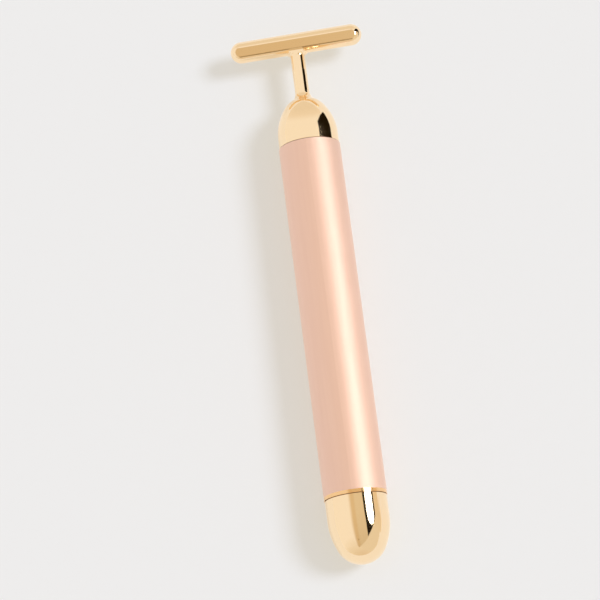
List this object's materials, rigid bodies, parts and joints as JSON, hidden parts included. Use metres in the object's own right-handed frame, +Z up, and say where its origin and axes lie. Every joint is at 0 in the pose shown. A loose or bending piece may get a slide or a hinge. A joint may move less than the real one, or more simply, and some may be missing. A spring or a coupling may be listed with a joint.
{
  "type": "vibrating beauty bar",
  "caption": "Slim round vibrating bar with a T-shaped plated head, an anodised barrel and a screwed tail cap.",
  "frame": {"origin": "middle of the bar's box, on the surface that its barrel lies on", "axes": "+Y along the bar towards the head, +X along the cross bar, +Z up"},
  "size_m": [0.0382, 0.1552, 0.0175],
  "materials": {
    "plated_gold": "bright gold plating on a zinc casting",
    "rose_anodised": "satin rose-gold anodising",
    "turned_brass": "turned, plain",
    "seal_rubber": "matt",
    "white_plastic": "moulded, fine grain",
    "motor_steel": "plated sheet steel",
    "magnet_ferrite": "sintered, matt",
    "copper_wire": "enamelled copper",
    "brush_carbon": "pressed carbon",
    "spring_wire": "drawn wire",
    "red_insulation": "soft gloss",
    "black_insulation": "soft gloss",
    "cell_steel": "nickel plated",
    "cell_mix": "pressed powder",
    "cell_print": "plain film, no lettering"
  },
  "bodies": {
    "handle": {"head_casting": "plated_gold", "head_seal": "seal_rubber", "barrel_tube": "rose_anodised", "motor_cradle": "white_plastic", "motor_can": "motor_steel", "motor_magnets": "magnet_ferrite", "front_bush": "turned_brass", "motor_end_bell": "white_plastic", "rear_bush": "turned_brass", "motor_brushes": "brush_carbon", "motor_terminals": "turned_brass", "red_lead": "red_insulation", "black_lead": "black_insulation", "contact_carrier": "white_plastic", "positive_contact": "turned_brass", "cell_liner": "white_plastic", "return_strip": "spring_wire", "cell_can": "cell_steel", "cell_core": "cell_mix", "cell_button": "cell_steel", "cell_gasket": "seal_rubber", "cell_jacket": "cell_print", "tail_collar": "plated_gold"},
    "rotor": {"motor_shaft": "motor_steel", "rotor_stack": "motor_steel", "rotor_windings": "copper_wire", "commutator_hub": "white_plastic", "commutator_segments": "copper_wire", "thrust_washers": "white_plastic", "eccentric_weight": "turned_brass"},
    "contact_swivel": {"contact_cup": "turned_brass", "tail_spring": "spring_wire"},
    "cap": {"tail_cap": "plated_gold", "cap_seal": "seal_rubber", "cup_holder": "white_plastic", "swivel_screw": "motor_steel"}
  },
  "joints": [
    {"name": "motor_spin", "type": "hinge", "parent": "handle", "child": "rotor", "pos_m": [0, 0.03386, 0.00875], "axis": [0, 1, 0], "continuous": true},
    {"name": "cap_travel", "type": "slide", "parent": "handle", "child": "contact_swivel", "axis": [0, -1, 0], "range_m": [0, 0.003], "deforming": ["tail_spring"]},
    {"name": "cap_twist", "type": "hinge", "parent": "contact_swivel", "child": "cap", "pos_m": [0, -0.05924, 0.00875], "axis": [0, -1, 0], "range_deg": [0, 1080]}
  ],
  "couplings": [
    {"joint": "cap_twist", "follows": "cap_travel", "rad_per_m": 6283.2}
  ]
}
